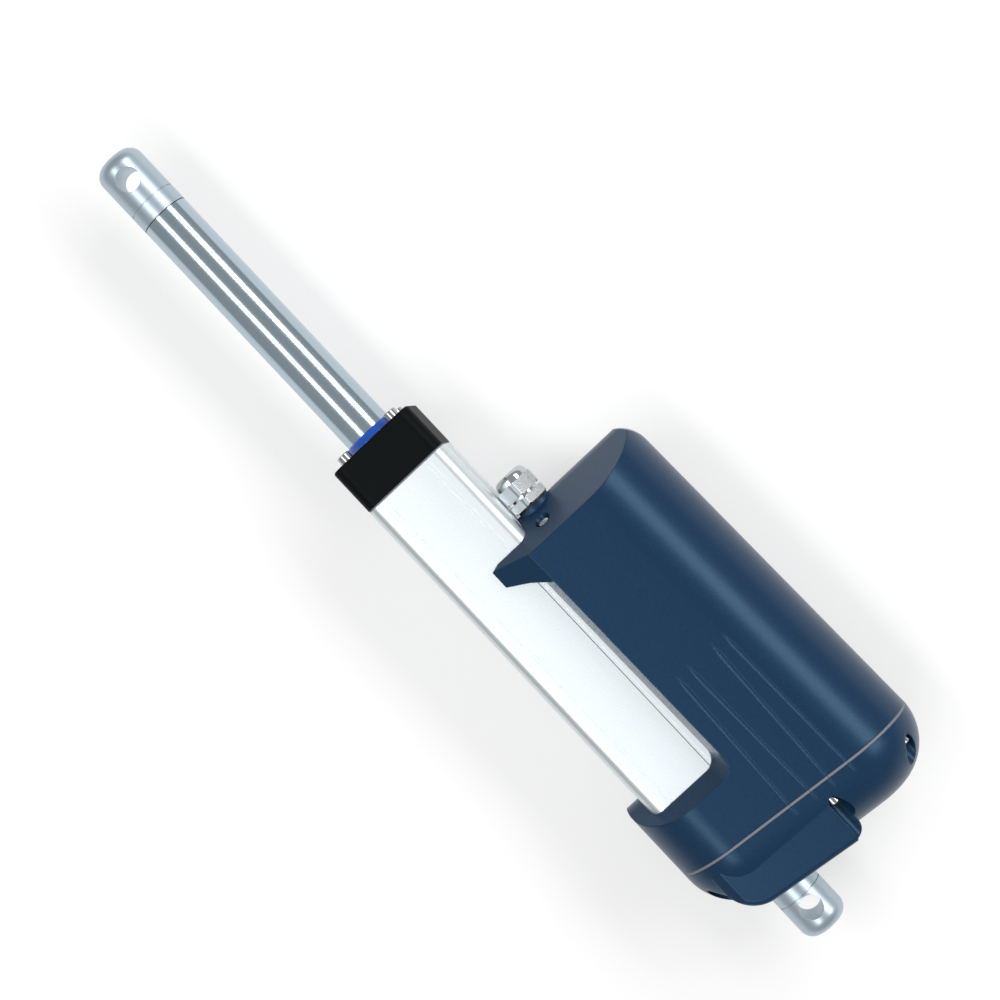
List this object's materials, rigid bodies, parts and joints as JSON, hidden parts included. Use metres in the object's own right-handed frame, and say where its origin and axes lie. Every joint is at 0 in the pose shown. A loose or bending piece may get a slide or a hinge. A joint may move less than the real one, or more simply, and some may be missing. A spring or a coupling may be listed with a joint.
{
  "type": "electric linear actuator",
  "caption": "Parallel-motor electric linear actuator: eye-ended rod sliding from a square tube, driven by a screw, a gear train and a motor in a rounded housing.",
  "frame": {"origin": "centre of the rear eye's pin bore", "axes": "+X along the rod towards the rod eye, +Z along the pin bores, -Y towards the motor"},
  "size_m": [0.504, 0.1325, 0.076],
  "materials": {
    "housing_paint": "satin navy powder coat on a die casting",
    "anodised_aluminium": "satin natural anodised",
    "black_plastic": "moulded, fine matt",
    "blue_rubber": "moulded blue polyurethane",
    "gasket_rubber": "grey sheet rubber",
    "black_rubber": "moulded black rubber",
    "polished_rod": "ground and polished",
    "turned_steel": "turned, satin",
    "bright_steel": "nickel-plated screws",
    "bright_nickel": "bright nickel plate on brass",
    "plain_steel": "machined",
    "cast_aluminium": "as cast",
    "bronze": "machined bronze",
    "copper": "enamelled wire and bare segments",
    "ferrite": "sintered, dark grey",
    "carbon": "pressed carbon",
    "board_laminate": "green glass-fibre laminate",
    "white_plastic": "machined acetal"
  },
  "bodies": {
    "housing": {"motor_housing": "housing_paint", "end_cap": "housing_paint", "end_cap_gasket": "gasket_rubber", "end_cap_screws": "bright_steel", "outer_tube": "anodised_aluminium", "front_gasket": "gasket_rubber", "front_cap": "black_plastic", "front_cap_screws": "bright_steel", "rod_guide_bush": "bronze", "rod_wiper": "blue_rubber", "rear_eye": "turned_steel", "rear_eye_dowel": "plain_steel", "bearing_retainer": "plain_steel", "rear_bearing_outer": "plain_steel", "rear_bearing_balls": "bright_steel", "front_bearing_outer": "plain_steel", "front_bearing_balls": "bright_steel", "idler_axle": "plain_steel", "motor_can": "plain_steel", "motor_magnets": "ferrite", "motor_front_plate": "cast_aluminium", "motor_brush_bell": "cast_aluminium", "motor_front_bush": "bronze", "motor_rear_bush": "bronze", "brush_holder": "black_plastic", "motor_brushes": "carbon", "motor_circlip": "plain_steel", "control_board": "board_laminate", "gland_body": "bright_nickel", "gland_nut": "bright_nickel", "gland_insert": "black_rubber", "gland_oring": "black_rubber", "blanking_screw": "bright_nickel"},
    "rod": {"rod_tube": "polished_rod", "rod_eye": "turned_steel", "drive_nut": "bronze", "nut_guide_ring": "white_plastic"},
    "spindle": {"spindle": "plain_steel", "spindle_gear": "plain_steel", "spindle_key": "plain_steel", "rear_bearing_inner": "plain_steel", "front_bearing_inner": "plain_steel", "locknut_spacer": "plain_steel", "spindle_locknut": "plain_steel", "spindle_stop": "white_plastic"},
    "idler": {"idler_gear": "plain_steel", "idler_bush": "bronze"},
    "armature": {"motor_pinion": "plain_steel", "motor_shaft": "plain_steel", "armature_core": "plain_steel", "armature_windings": "copper", "commutator": "copper", "sensor_magnet": "ferrite"}
  },
  "joints": [
    {"name": "armature_spin", "type": "hinge", "parent": "housing", "child": "armature", "pos_m": [0.1, -0.05887, 0], "axis": [1, 0, 0], "range_deg": [0, 30857]},
    {"name": "rod_slide", "type": "slide", "parent": "housing", "child": "rod", "axis": [1, 0, 0], "range_m": [-0.15, 0]},
    {"name": "spindle_spin", "type": "hinge", "parent": "housing", "child": "spindle", "pos_m": [0.1, 0, 0], "axis": [1, 0, 0], "range_deg": [0, 4500]},
    {"name": "idler_spin", "type": "hinge", "parent": "housing", "child": "idler", "pos_m": [0.045, -0.03188, 0], "axis": [1, 0, 0], "range_deg": [-10800, 0]}
  ],
  "couplings": [
    {"joint": "rod_slide", "follows": "armature_spin", "m_per_rad": -0.00027852},
    {"joint": "spindle_spin", "follows": "armature_spin", "ratio": 0.14583},
    {"joint": "idler_spin", "follows": "armature_spin", "ratio": -0.35}
  ]
}
